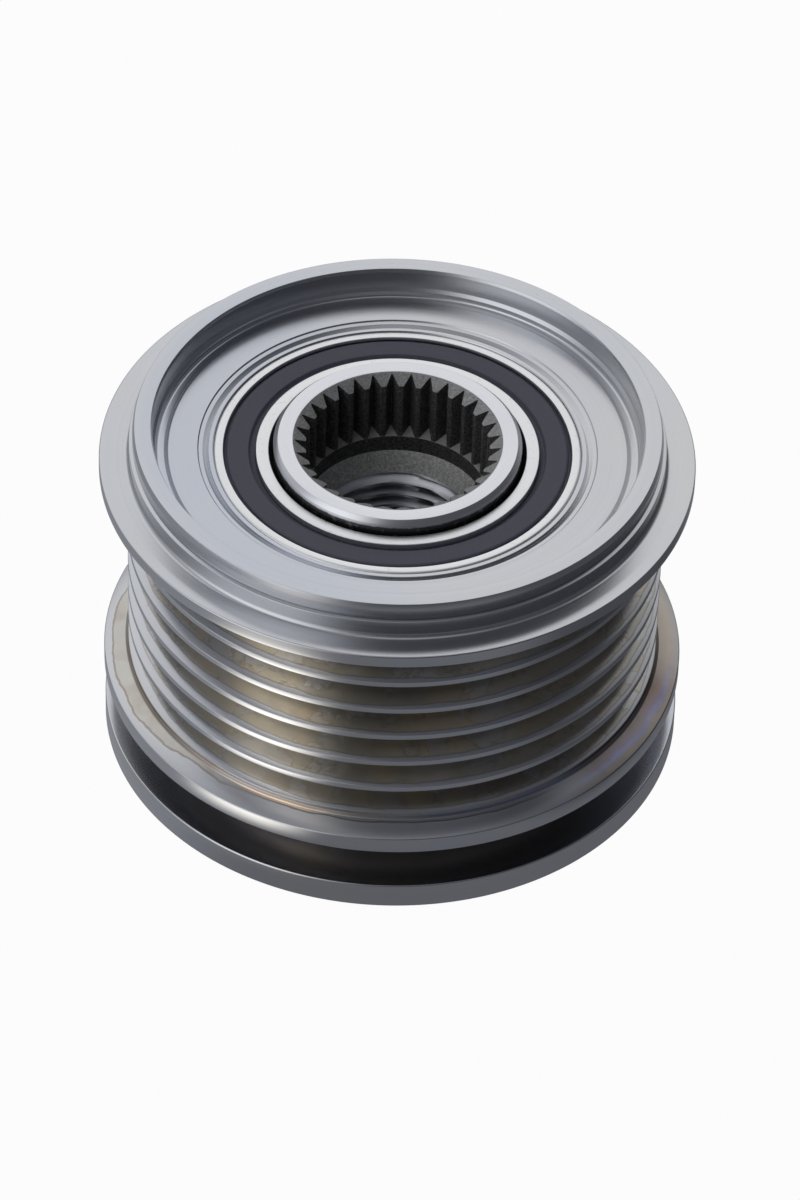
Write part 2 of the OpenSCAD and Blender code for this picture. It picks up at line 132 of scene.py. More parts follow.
class Shader:
    """A node tree with one method that adds any node and returns one of its outputs."""

    def __init__(self, tree):
        self.tree = tree
        self.tree.nodes.clear()

    def node(self, kind, settings=None, inputs=None, output=0):
        node = self.tree.nodes.new(kind)
        for key, setting in (settings or {}).items():
            if key == "stops":
                ramp = node.color_ramp.elements
                while len(ramp) < len(setting):
                    ramp.new(0.5)
                for element, (place, colour) in zip(ramp, setting):
                    element.position = place
                    element.color = (*colour, 1)
            else:
                setattr(node, key, setting)
        for key, value in (inputs or {}).items():
            if isinstance(value, Value):
                self.tree.links.new(value.socket, node.inputs[key])
            elif isinstance(value, (tuple, list)) and len(value) == 3 and node.inputs[key].type == "RGBA":
                node.inputs[key].default_value = (*value, 1)
            else:
                node.inputs[key].default_value = value
        return Value(self, node.outputs[output]) if node.outputs else None

    def mix(self, amount, one, other):
        """The first colour where amount is 0, and the second where it is 1."""
        inputs = {"Factor": amount, 6: one, 7: other}
        return self.node("ShaderNodeMix", {"data_type": "RGBA"}, inputs, 2)


def surface(name):
    """A new material's shader."""
    material = bpy.data.materials.new(name)
    material.use_nodes = True
    shader = Shader(material.node_tree)
    shader.material = material
    return shader


floor_half = 3
floor_mesh = bpy.data.meshes.new("floor")
corners = [(-floor_half, -floor_half, 0), (floor_half, -floor_half, 0)]
corners += [(floor_half, floor_half, 0), (-floor_half, floor_half, 0)]
floor_mesh.from_pydata(corners, [], [(0, 1, 2, 3)])
floor = bpy.data.objects.new("floor", floor_mesh)
floor.location.z = -0.00002
bpy.context.scene.collection.objects.link(floor)


def compass(x, y):
    """Degrees round the axis from the front, the side of -Y, positive towards +X."""
    return x.math("ARCTAN2", -1.0 * y) * (180 / math.pi)


s = surface("floor_paper")
place = s.node("ShaderNodeTexCoord", output="Object")
x, y = [s.node("ShaderNodeSeparateXYZ", {}, {0: place}, i) for i in range(2)]
turn = compass(x, y)
from_back = compass(-1.0 * x, -1.0 * y)
reach = (x * x + y * y).math("SQRT") / MM
away = reach.step(34.0, 44.0)
far = reach.step(54.0, 66.0)
# The floor's glow that metal and glass reflect is painted light: brighter behind and at the left, dark to
# the right past 34 mm, and a painted warm pool of light at the front left.
lit = s.mix(turn.band(80.0, 20.0, 30.0) * away, (0.32, 0.33, 0.355), (0.095, 0.1, 0.11))
lit = s.mix(turn.band(-85.0, 28.0, 30.0), lit, (0.56, 0.585, 0.63))
lit = s.mix(from_back.band(0.0, 30.0, 34.0), lit, (0.75, 0.78, 0.82))
lit = s.mix(turn.band(-38.0, 4.0, 18.0) * away * (1.0 - 0.7 * far), lit, (4.4, 4.2, 3.85))
seen = s.node("ShaderNodeLightPath")
mirrored = s.node("ShaderNodeLightPath", output="Is Glossy Ray")
through = s.node("ShaderNodeLightPath", output="Is Transmission Ray")
paper = s.node("ShaderNodeBsdfDiffuse", {}, {"Color": (0.2, 0.21, 0.23)})
glow = s.node("ShaderNodeEmission", {}, {"Color": s.mix(seen, lit, (1, 1, 1)), "Strength": 1.0})
share = (0.97 * seen + 0.5 * mirrored + 0.3 * through).clamp()
shown = s.node("ShaderNodeMixShader", {}, {0: share, 1: paper, 2: glow})
s.node("ShaderNodeOutputMaterial", {}, {"Surface": shown})
floor_mesh.materials.append(s.material)

world = bpy.data.worlds.new("studio")
world.use_nodes = True
bpy.context.scene.world = world
s = Shader(world.node_tree)
direction = s.node("ShaderNodeTexCoord", output="Generated")
x, y, z = [s.node("ShaderNodeSeparateXYZ", {}, {0: direction}, i) for i in range(3)]
turn = compass(x, y)
from_back = compass(-1.0 * x, -1.0 * y)
rise = z.math("ARCSINE") * (180 / math.pi)
room = s.mix(rise.step(45.0, 80.0), (0.08, 0.084, 0.094), (0.13, 0.135, 0.15))
room = s.mix(rise.step(68.0, 86.0), room, (0.5, 0.51, 0.53))
left_wall = turn.band(-105.0, 24.0, 34.0) * rise.band(15.0, 45.0, 24.0)
room = s.mix(left_wall, room, (0.4, 0.415, 0.445))
softbox = from_back.band(10.0, 30.0, 46.0) * rise.band(38.0, 14.0, 19.0)
room = s.mix(softbox, room, (0.97, 0.985, 1.0))
strip = turn.band(-54.0, 12.0, 30.0) * rise.band(15.0, 38.0, 24.0)
room = s.mix(strip, room, (1.2, 1.22, 1.25))
seen = s.node("ShaderNodeLightPath")
colour = s.mix(seen, room, (1, 1, 1))
glow = s.node("ShaderNodeBackground", {}, {"Color": colour, "Strength": 1.0})
s.node("ShaderNodeOutputWorld", {}, {"Surface": glow})


# Pulley
# Turned from one steel bar: front lip and cap recess, two belt flanges with six V-grooves
# between them, a deep groove and a disc at the rear. The bearings are pressed into its bore.
pulley_low, pulley_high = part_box("pulley")
lip_top = pulley_high.z / MM
disc_low = pulley_low.z / MM
flange_r = pulley_high.x / MM
bearing_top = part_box("front_outer_ring")[1].z / MM
bearing_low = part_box("rear_outer_ring")[0].z / MM
bearing_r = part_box("front_outer_ring")[1].x / MM

groove_count, groove_pitch, groove_opening, groove_depth = 6, 3.56, 2.96, 3.0
ridge_r = 27.13
flank_h = groove_depth * math.tan(math.radians(20))
floor_top = bearing_top + 0.19
face_top = bearing_top - 0.65
rim_low = face_top - 1.3
track_top = rim_low - 1.76
track_low = track_top - (groove_count - 1) * groove_pitch - groove_opening
rear_top = track_low - 1.33
rear_low = rear_top - 1.8
disc_top = rear_low - 4.8
rear_r, disc_r, undercut_r = 29.6, 29.5, 22.0
recess_r, bead_r, rear_lip_r = 24.65, 24.35, 17.5
lip_r, lip_groove_r, neck_r = 26.65, 26.5, 27.0

# Corners of the section, each as radius, height and the radius of its rounding
section = [
    (bearing_r, bearing_top - 0.1, 0), (bearing_r + 0.1, bearing_top, 0.03),
    (bearing_r + 0.5, bearing_top, 0.03), (bearing_r + 0.6, bearing_top - 0.28, 0.03),
    (bearing_r + 1.1, bearing_top + 0.02, 0.04), (bearing_r + 1.5, bearing_top + 0.06, 0.03),
    (bearing_r + 1.62, floor_top, 0.04), (bead_r - 1.25, floor_top, 0.3),
    (bead_r - 0.95, floor_top - 0.3, 0.3), (bead_r - 0.1, floor_top - 0.32, 0.3),
    (bead_r, floor_top + 0.3, 0.06), (recess_r, floor_top + 0.6, 0.06),
    (recess_r, lip_top - 0.3, 0.06), (recess_r + 0.15, lip_top, 0.04),
    (lip_r - 0.21, lip_top, 0.06), (lip_r, lip_top - 0.6, 0.12),
    (lip_r, lip_top - 1.66, 0.03), (lip_groove_r, lip_top - 1.72, 0.03),
    (lip_groove_r, lip_top - 1.8, 0.03), (neck_r, lip_top - 1.9, 0.06),
    (neck_r, face_top, 0.5), (flange_r, face_top, 0.16),
    (flange_r, rim_low, 0.16)]
for i in range(groove_count):
    top = track_top - i * groove_pitch
    section += [
        (ridge_r, top, 0.07), (ridge_r - groove_depth, top - flank_h, 0.3),
        (ridge_r - groove_depth, top - groove_opening + flank_h, 0.3),
        (ridge_r, top - groove_opening, 0.07)]
section += [
    (ridge_r + 0.02, track_low - 0.35, 0.1), (ridge_r + 0.3, track_low - 0.6, 0.2),
    (rear_r, rear_top, 0.16), (rear_r, rear_low, 0.16),
    (undercut_r, rear_low, 0.8), (undercut_r, disc_top, 0.8),
    (disc_r, disc_top, 0.16), (disc_r, disc_low, 0.2),
    (rear_lip_r, disc_low, 0.4), (rear_lip_r, bearing_low, 0), (bearing_r, bearing_low, 0)]


def rounded(corners, steps=4):
    """A closed outline with each corner rounded: where a corner's two sides turn by an angle t,
    an arc of its radius R starts and ends R tan(t / 2) from it, held within 45% of each side."""
    corners = np.array(corners, float)
    place, radius = corners[:, :2], corners[:, 2]
    back = np.roll(place, 1, 0) - place
    ahead = np.roll(place, -1, 0) - place
    back_length = np.linalg.norm(back, axis=1)
    ahead_length = np.linalg.norm(ahead, axis=1)
    back /= back_length[:, None]
    ahead /= ahead_length[:, None]
    half = np.arccos(np.clip((back * ahead).sum(1), -0.999999, 0.999999)) / 2
    cut = np.minimum(radius / np.tan(half), 0.45 * np.minimum(back_length, ahead_length))
    middle = back + ahead
    middle /= np.maximum(np.linalg.norm(middle, axis=1), 1e-9)[:, None]
    centre = place + middle * (cut / np.cos(half))[:, None]
    start = place + back * cut[:, None] - centre
    end = place + ahead * cut[:, None] - centre
    share = np.linspace(0, 1, steps + 1)[:, None, None]
    swept = math.pi - 2 * half
    weight_a = np.sin((1 - share) * swept[:, None]) / np.sin(swept)[:, None]
    weight_b = np.sin(share * swept[:, None]) / np.sin(swept)[:, None]
    arcs = (centre + weight_a * start + weight_b * end).transpose(1, 0, 2)
    sharp = radius == 0
    return np.concatenate([place[i:i + 1] if sharp[i] else arcs[i] for i in range(len(place))])


def split_long(outline, longest, closed=True):
    """The same outline with its long straight sides cut into equal lengths of at most longest.
    Where it isn't closed, the side from its last point back to its first is left out."""
    pieces = []
    ends = np.roll(outline, -1, 0) if closed else outline[1:]
    for a, b in zip(outline, ends):
        count = max(1, math.ceil(np.linalg.norm(b - a) / longest))
        pieces.append(a + (b - a) * np.arange(count)[:, None] / count)
    return np.concatenate(pieces)


def closed_grid(name, points, finishes, finish=0, sharp=32):
    """A piece from a grid of points that closes on itself both ways, with point [i, j] joined to
    [i + 1, j] and [i, j + 1], as on a ring. Row i has the material that finish gives, and edges
    that turn by more than sharp degrees stay crisp."""
    rows, columns = points.shape[:2]
    index = np.arange(rows * columns).reshape(rows, columns)
    below = np.roll(index, -1, 0)
    faces = np.stack([index, np.roll(index, -1, 1), np.roll(below, -1, 1), below], -1).reshape(-1, 4)
    mesh = bpy.data.meshes.new(name)
    mesh.from_pydata((points.reshape(-1, 3) * MM).tolist(), [], faces.tolist())
    for material in finishes:
        mesh.materials.append(material)
    of_row = np.zeros(rows, int) + finish
    mesh.polygons.foreach_set("material_index", np.repeat(of_row, columns).astype(np.int32))
    mesh.shade_smooth()
    mesh.set_sharp_from_angle(angle=math.radians(sharp))
    piece = bpy.data.objects.new(name, mesh)
    bpy.context.scene.collection.objects.link(piece)
    return piece


def turned(name, outline, finishes, segments=256):
    """A ring: the closed outline of radius and height, carried round the axis."""
    angle = np.arange(segments) * 2 * math.pi / segments
    radius, height = outline[:, :1], outline[:, 1:]
    points = np.stack([radius * np.cos(angle), radius * np.sin(angle), height + 0 * angle], -1)
    return closed_grid(name, points, finishes)


def position(shader):
    """The place on the piece in millimetres: x, y, height, and distance from the axis."""
    place = shader.node("ShaderNodeTexCoord", output="Object")
    x, y, z = [shader.node("ShaderNodeSeparateXYZ", {}, {0: place}, i) / MM for i in range(3)]
    return place, x, y, z, (x * x + y * y).math("SQRT")


def noise(shader, place, scale, detail=3.0, roughness=0.5):
    """Even noise between 0 and 1, with about scale waves to the metre."""
    inputs = {"Vector": place, "Scale": scale, "Detail": detail, "Roughness": roughness}
    return shader.node("ShaderNodeTexNoise", {}, inputs)


def rings(shader, radius, z, scale):
    """Noise that is the same all the way round, as a turning tool leaves it."""
    inputs = {"W": radius * scale + z * scale * 0.93, "Scale": 1.0, "Detail": 1.0}
    return shader.node("ShaderNodeTexNoise", {"noise_dimensions": "1D"}, inputs)


def steel(shader, colour, roughness, height, depth, anisotropic=0.0, bare=1.0):
    """Metal whose bump is height, depth metres deep. Where bare is below 1, a matt layer is on it."""
    bump = shader.node("ShaderNodeBump", {}, {"Height": height, "Distance": depth, "Strength": 1.0})
    inputs = {"Base Color": colour, "Metallic": bare, "Roughness": roughness,
              "Anisotropic": anisotropic, "Normal": bump}
    metal = shader.node("ShaderNodeBsdfPrincipled", {}, inputs)
    shader.node("ShaderNodeOutputMaterial", {}, {"Surface": metal})
    return shader.material


s = surface("turned_pulley_steel")
place, x, y, z, radius = position(s)
angle = compass(x, y)
fine = rings(s, radius, z, 2.4)
coarse = rings(s, radius, z, 0.8)
cloud = noise(s, place, 90, 4)
blot = noise(s, place, 420, 4, 0.6)
mottle = (0.3 * fine + 0.2 * coarse + 0.5 * cloud).clamp()
grey = s.mix(mottle, (0.51, 0.518, 0.542), (0.61, 0.612, 0.63))

# Faint cool and warm clouds and fine specks, and a painted cool sheen on the left of the recess
tint = noise(s, place, 45, 3)
recess = radius.step(27.0, 25.0)
# The left of the recess is painted cooler, as a painted reflection; the cool clouds elsewhere are random
# tone.
cool_clouds_and_sheen = 0.7 * angle.band(-80.0, 50.0, 50.0) * recess + 0.4 * tint.step(0.45, 0.7)
grey = s.mix(cool_clouds_and_sheen.clamp(), grey, (0.51, 0.53, 0.585))
grey = s.mix(tint.step(0.45, 0.3) * 0.5, grey, (0.6, 0.585, 0.565))
grey = s.mix(noise(s, place, 2600, 2).step(0.7, 0.76) * 0.25, grey, (0.3, 0.3, 0.31))

# Coolant film dried in the belt grooves: olive, up to a wavy line just short of the ridge tips
track = z.step(track_low - 0.6, track_low - 0.3) * z.step(track_top + 0.5, track_top + 0.2)
wavy = noise(s, place, 150, 5, 0.65) - 0.5
waterline = ridge_r - 0.42 - 0.35 * angle.band(-62.0, 20.0, 30.0) + 0.9 * wavy
film = track * (radius - waterline).step(0.06, -0.06)
film_edge = track * (radius - waterline).band(0.0, 0.03, 0.07)
olive = s.mix(cloud.step(0.35, 0.65), (0.43, 0.412, 0.375), (0.57, 0.535, 0.47))
gold = noise(s, place, 130, 4).step(0.52, 0.66)
olive = s.mix(gold * 0.5, olive, (0.6, 0.51, 0.4))
dried = noise(s, place, 240, 5, 0.62)
thin = dried.step(0.47, 0.44)
grey = s.mix(film * (0.95 - 0.5 * thin), grey, olive)
grey = s.mix(film * dried.band(0.47, 0.002, 0.012) * 0.35, grey, (0.2, 0.18, 0.15))
grey = s.mix(film_edge * 0.4, grey, (0.2, 0.18, 0.15))

# The rear flange: a cream stain with a brown edge at the left, heat colours by the fillet, and a painted
# amber highlight beside the fillet at the front left
shelf_z = (track_low + rear_top) / 2
fillet_r = 27.27
shelf = z.band(shelf_z, 0.75, 0.1) * radius.step(27.0, 27.1)
drift = noise(s, place, 260, 4) - 0.5
reach = 27.9 + 1.3 * drift + 0.9 * angle.band(-78.0, 10.0, 26.0)
left_side = angle.band(-70.0, 28.0, 14.0)
cream = shelf * (radius - reach).step(0.12, -0.12) * left_side
cream_edge = shelf * (radius - reach).band(0.0, 0.04, 0.12) * left_side
haze = noise(s, place, 180, 4)
cream_tone = s.mix(blot, (0.43, 0.4, 0.35), (0.6, 0.565, 0.495))
cream_tone = s.mix(haze.step(0.5, 0.7) * 0.6, cream_tone, (0.34, 0.27, 0.2))
grey = s.mix(cream * 0.72, grey, cream_tone)
grey = s.mix(cream_edge * 0.6, grey, (0.22, 0.16, 0.12))
front_reach = 27.75 + 0.7 * drift
front_side = angle.band(2.0, 22.0, 18.0)
grey = s.mix(shelf * (radius - front_reach).step(0.05, -0.05) * front_side * 0.6, grey, (0.42, 0.4, 0.37))
stain_line = (radius - front_reach).band(0.0, 0.03, 0.08)
grey = s.mix(shelf * stain_line * front_side * 0.7, grey, (0.12, 0.11, 0.1))
seam = radius.band(fillet_r, 0.03, 0.13) * z.band(shelf_z, 0.9, 0.1)
grey = s.mix(seam * angle.band(-45.0, 36.0, 12.0) * 0.65, grey, (0.22, 0.14, 0.1))
grey = s.mix(seam * angle.band(28.0, 16.0, 10.0) * 0.6, grey, (0.16, 0.2, 0.46))
# A painted highlight: a thin amber line beside the fillet at the front left.
amber_highlight = (radius - 27.5 - 0.4 * drift).band(0.0, 0.06, 0.14) * shelf * angle.band(-24.0, 5.0, 9.0)
grey = s.mix(amber_highlight * 0.8, grey, (0.95, 0.7, 0.48))

# Heat colours at the right: pale brown towards the back, then brown, violet and blue with gold
runs = noise(s, place, 900, 3) - 0.5
warmth = ((radius - 27.1) / 2.4 + 0.5 * drift + 0.3 * runs).clamp()
tan_stops = [(0.0, (0.26, 0.21, 0.16)), (0.6, (0.36, 0.3, 0.24)), (1.0, (0.4, 0.385, 0.38))]
tan = s.node("ShaderNodeValToRGB", {"stops": tan_stops}, {"Fac": warmth})
grey = s.mix(shelf * angle.band(92.0, 16.0, 12.0) * 0.8, grey, tan)
heat_stops = [(0.0, (0.13, 0.1, 0.085)), (0.3, (0.2, 0.14, 0.12)), (0.5, (0.19, 0.15, 0.22)),
              (0.66, (0.2, 0.22, 0.4)), (0.8, (0.32, 0.25, 0.22)), (1.0, (0.38, 0.33, 0.27))]
heat = s.node("ShaderNodeValToRGB", {"stops": heat_stops}, {"Fac": warmth})
grey = s.mix(shelf * angle.band(62.0, 12.0, 14.0) * 0.75, grey, heat)

# The deep groove is painted dark brownish grey as shade, mottled, and is made a little rougher
deep_groove_shade = z.band((rear_low + disc_top) / 2, 2.32, 0.05) * radius.step(disc_r - 0.05, disc_r - 0.45)
grey = s.mix(deep_groove_shade * 0.88, grey, s.mix(blot, (0.12, 0.105, 0.09), (0.26, 0.215, 0.17)))
rough = 0.24 + 0.02 * fine + 0.12 * deep_groove_shade
pulley_steel = steel(s, grey, rough, coarse + 0.4 * fine, 0.000001, 0.2)

pulley = turned("pulley_body", split_long(rounded(section), 1.4), [pulley_steel])
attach(pulley, "pulley_side")
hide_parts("pulley")


# Hub
# Forged and turned steel that carries both bearings and screws onto the alternator shaft. Its
# front is ground bright, the serrated socket keeps its dark phosphate, and the thread at the
# bottom was cut after that. Its outside has painted shade between its bevel and the bearing.
hub_low, hub_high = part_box("hub")
hub_top = hub_high.z / MM
hub_bottom = hub_low.z / MM
collar_r = hub_high.x / MM
sleeve_wall = 1.2
hub_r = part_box("clutch_sleeve")[1].x / MM - sleeve_wall
collar_top = bearing_low
tooth_count, tooth_tip_r, tooth_root_r = 33, 9.25, 10.35
first_tooth = math.radians(90 + 4.4 - 180 / tooth_count)
mouth_r, mouth_depth = 10.57, 0.85
teeth_low = hub_top - 7.46
socket_low = hub_top - 9.36
cone_low = socket_low - 1.7
cone_r, thread_r, thread_root_r, thread_pitch = 7.8, 7.188, 8.0, 1.5
pilot_r, pilot_top = 8.5, 9.5
front_bevel = 0.44

# One tooth's pitch in twelve columns: its angle from the tip's middle, and the outline there
tip_half, root_half, corner_ease = 1.7, 5.12, 0.05
pitch_angle = 360 / tooth_count
across_tooth = np.array([-1.7, -1.4, -0.5, 0.5, 1.4, 1.7, 2.9, 4.1, 5.12, 5.79, 6.8, 8.0])
folded = np.minimum(abs(across_tooth), abs(across_tooth - pitch_angle))
rise = np.clip((folded - tip_half) / (root_half - tip_half), 0, 1)
eased = corner_ease * (folded > tip_half - 0.1) * (rise < 0.01)
tooth_outline = tooth_tip_r + (tooth_root_r - tooth_tip_r) * rise + eased
turns = np.arange(tooth_count) * pitch_angle
hub_angle = first_tooth + np.radians((turns[:, None] + across_tooth).ravel())
outline_r = np.tile(tooth_outline, tooth_count)


def thread_wall(z, angle):
    """Radius of a right-hand thread: the phase is the height less the pitch for each turn, and
    the radius climbs from the crest flat to the root flat and back as a clipped triangle wave.
    A bevel widens each end: the larger of the thread's radius and the bevel's is kept."""
    phase = (z / thread_pitch - angle / (2 * math.pi)) % 1
    wave = np.clip(1.5 * abs(2 * phase - 1) - 0.3, 0, 1)
    radius = thread_r + (thread_root_r - thread_r) * wave
    top_bevel = cone_r - 0.75 * (cone_low - z)
    low_bevel = thread_r + 0.8 - (z - pilot_top)
    return np.maximum(radius, np.maximum(top_bevel, low_bevel))


def hub_rows():
    """Rows of radius and height round the hub's section, and the number of each row's finish.
    Rows in the socket follow the tooth outline, and its mouth is a cone cut across the teeth."""
    around = np.ones_like(hub_angle)
    rows, finish = [], []

    def add(radius, height, kind):
        rows.append(np.stack([radius * around, height * around], 1))
        finish.append(kind)

    outside = rounded([(pilot_r, hub_bottom, 0.25), (collar_r, hub_bottom, 0.3),
                       (collar_r, collar_top, 0.1), (hub_r, collar_top, 0.05),
                       (hub_r, hub_top - front_bevel, 0.06), (hub_r - front_bevel, hub_top, 0.05),
                       (mouth_r + 0.5, hub_top, 0), (pilot_r + 1, hub_top - 20, 0)], 3)[:-1]
    for radius, height in split_long(outside, 3, closed=False):
        add(radius, height, 0)
    add(mouth_r + 0.2, hub_top, 0)
    add(mouth_r + 0.03, hub_top, 0)
    add(mouth_r, hub_top - 0.01, 1)
    for share in (0.25, 0.5, 0.75, 1):
        radius = mouth_r + (outline_r - mouth_r) * share
        height = hub_top - mouth_depth * (mouth_r - radius) / (mouth_r - tooth_tip_r)
        add(radius, height, 1 if share < 1 else 2)
    mouth = rows[-1][:, 1]
    foot = teeth_low + 0.5 * (outline_r - tooth_tip_r) / (tooth_root_r - tooth_tip_r)
    for share in (0.02, 0.15, 0.3, 0.45, 0.6, 0.75, 0.9, 0.99, 1):
        add(outline_r, mouth + (foot - mouth) * share, 2)
    add(tooth_tip_r - 0.04, teeth_low - 0.04, 2)
    for height in (teeth_low - 0.12, (teeth_low + socket_low) / 2, socket_low + 0.15):
        add(tooth_tip_r - 0.04, height, 2)
    add(tooth_tip_r - 0.06, socket_low, 3)
    for share in (0.08, 0.3, 0.55, 0.8, 1):
        radius = tooth_tip_r - 0.1 + (cone_r - tooth_tip_r + 0.1) * share
        add(radius, socket_low + (cone_low - socket_low) * share, 3 if share < 1 else 4)
    for height in np.arange(cone_low - 0.05, pilot_top, -thread_pitch / 10):
        add(thread_wall(height, hub_angle), height, 4)
    for radius, height in ((pilot_r - 0.1, pilot_top), (pilot_r, pilot_top - 0.1), (pilot_r, 4.5)):
        add(radius, height, 5)
    return np.array(rows), np.array(finish)


s = surface("ground_hub_steel")
place, x, y, z, radius = position(s)
fine = rings(s, radius, z, 2.8)
cloud = noise(s, place, 160, 4)
chips = noise(s, place, 1500, 3) - 0.5
# Painted shade: a dark band with a chipped upper edge on the hub's outside, below its front bevel and down
# to the bearing, also made rougher.
gap_shade = radius.step(hub_r - 0.06, hub_r - 0.03) * (z + 0.3 * chips).step(hub_top - 0.62, hub_top - 0.85)
gap_shade = gap_shade * z.step(bearing_top - 2.0, bearing_top - 1.5)
grey = s.mix((0.2 * fine + 0.6 * cloud).clamp(), (0.66, 0.664, 0.69), (0.76, 0.764, 0.79))
grey = s.mix(gap_shade * 0.93, grey, s.mix(chips.step(0.05, 0.25), (0.07, 0.07, 0.073), (0.34, 0.34, 0.35)))
ground_hub = steel(s, grey, 0.26 + 0.04 * fine + 0.2 * gap_shade, fine, 0.0000008, 0.2)

s = surface("rough_tooth_ends")
place, x, y, z, radius = position(s)
grit = noise(s, place, 5200, 4, 0.7)
patch = noise(s, place, 900, 3)
grey = s.mix(grit.step(0.3, 0.7), (0.22, 0.218, 0.215), (0.52, 0.515, 0.51))
grey = s.mix((0.6 * patch).clamp(), grey, (0.2, 0.195, 0.19))
tooth_ends = steel(s, grey, 0.5 + 0.15 * patch, grit, 0.00006, 0.0, 0.5)

s = surface("phosphated_socket")
place, x, y, z, radius = position(s)
grit = noise(s, place, 4200, 4, 0.7)
sparkle = noise(s, place, 9000, 2).step(0.66, 0.74)
# Faces that look upwards are painted lighter, as painted light from above.
shelf = s.node("ShaderNodeNewGeometry", output="Normal")
painted_top_light = s.node("ShaderNodeSeparateXYZ", {}, {0: shelf}, 2).step(0.6, 0.85)
grey = s.mix(grit.step(0.35, 0.7), (0.045, 0.045, 0.044), (0.16, 0.157, 0.152))
grey = s.mix(painted_top_light * (0.6 + 0.4 * grit), grey, (0.42, 0.415, 0.41))
grey = s.mix(sparkle * 0.8, grey, (0.5, 0.49, 0.48))
phosphated = steel(s, grey, 0.5 + 0.12 * grit, grit, 0.00005, 0.0, 0.4)

s = surface("forged_socket_cone")
place, x, y, z, radius = position(s)
grit = noise(s, place, 3800, 4, 0.7)
sparkle = noise(s, place, 8200, 2).step(0.62, 0.72)
grey = s.mix(grit.step(0.35, 0.7), (0.36, 0.356, 0.35), (0.7, 0.69, 0.67))
grey = s.mix(sparkle * 0.8, grey, (0.75, 0.73, 0.7))
forged_cone = steel(s, grey, 0.45 + 0.2 * grit, grit, 0.00007, 0.0, 0.35)

s = surface("cut_thread_steel")
place, x, y, z, radius = position(s)
fine = rings(s, radius, z, 20.0)
oil = noise(s, place, 700, 3)
grey = s.mix((0.5 * fine + 0.4 * oil).clamp(), (0.3, 0.305, 0.33), (0.5, 0.505, 0.53))
bevel = z.step(cone_low - 1.1, cone_low - 0.9)
grey = s.mix(bevel, grey, (0.72, 0.73, 0.76))
cut_thread = steel(s, grey, 0.24 + 0.12 * oil + 0.08 * bevel, fine, 0.000004)

s = surface("bored_pilot_steel")
place, x, y, z, radius = position(s)
fine = rings(s, radius, z, 12.0)
cloud = noise(s, place, 220, 4)
grey = s.mix((0.4 * fine + 0.5 * cloud).clamp(), (0.45, 0.455, 0.47), (0.58, 0.585, 0.6))
bored_pilot = steel(s, grey, 0.3 + 0.1 * fine, fine, 0.000008, 0.3)

points, finish = hub_rows()
heights = points[..., 1:]
round_axis = np.stack([np.cos(hub_angle), np.sin(hub_angle)], 1)
points = np.concatenate([points[..., :1] * round_axis, heights], -1)
finishes = [ground_hub, tooth_ends, phosphated, forged_cone, cut_thread, bored_pilot]
hub = closed_grid("hub_body", points, finishes, finish, 27)
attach(hub, "hub_side")
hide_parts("hub")


# Front bearing, as it shows
# Ground outer and inner rings with a rubber seal between them. The seal's bead snaps into the
# outer ring, and its lip runs on the inner ring's edge.
s = surface("ground_ring_steel")
place, x, y, z, radius = position(s)
fine = rings(s, radius, z, 3.0)
cloud = noise(s, place, 240, 4)
scratch = noise(s, place, 2600, 2).step(0.66, 0.72)
grey = s.mix((0.35 * fine + 0.5 * cloud).clamp(), (0.76, 0.762, 0.765), (0.86, 0.86, 0.865))
grey = s.mix(0.25 * scratch, grey, (0.3, 0.3, 0.31))
# The bore's chamfer is painted near black, as painted shade in the gap beside the hub.
bore_gap_shade = radius.step(hub_r + 0.5, hub_r + 0.42)
grey = s.mix(bore_gap_shade * 0.95, grey, (0.03, 0.03, 0.032))
ring_steel = steel(s, grey, 0.33 + 0.04 * fine, fine, 0.0000008, 0.2)

s = surface("seal_rubber")
place, x, y, z, radius = position(s)
grain = noise(s, place, 6000, 3, 0.6)
dust = noise(s, place, 1800, 4, 0.65)
grey = s.mix((0.8 * dust).clamp(), (0.062, 0.064, 0.09), (0.102, 0.104, 0.14))
grey = s.mix(noise(s, place, 5200, 2).step(0.7, 0.76) * 0.5, grey, (0.16, 0.165, 0.18))
bump = s.node("ShaderNodeBump", {}, {"Height": grain + 0.6 * dust, "Distance": 0.00002, "Strength": 1.0})
inputs = {"Base Color": grey, "Roughness": 0.5 + 0.2 * dust, "Normal": bump}
s.node("ShaderNodeOutputMaterial", {}, {"Surface": s.node("ShaderNodeBsdfPrincipled", {}, inputs)})
rubber = s.material

inner_shoulder_r, outer_track_r, bearing_w = 14.25, 16.75, 7


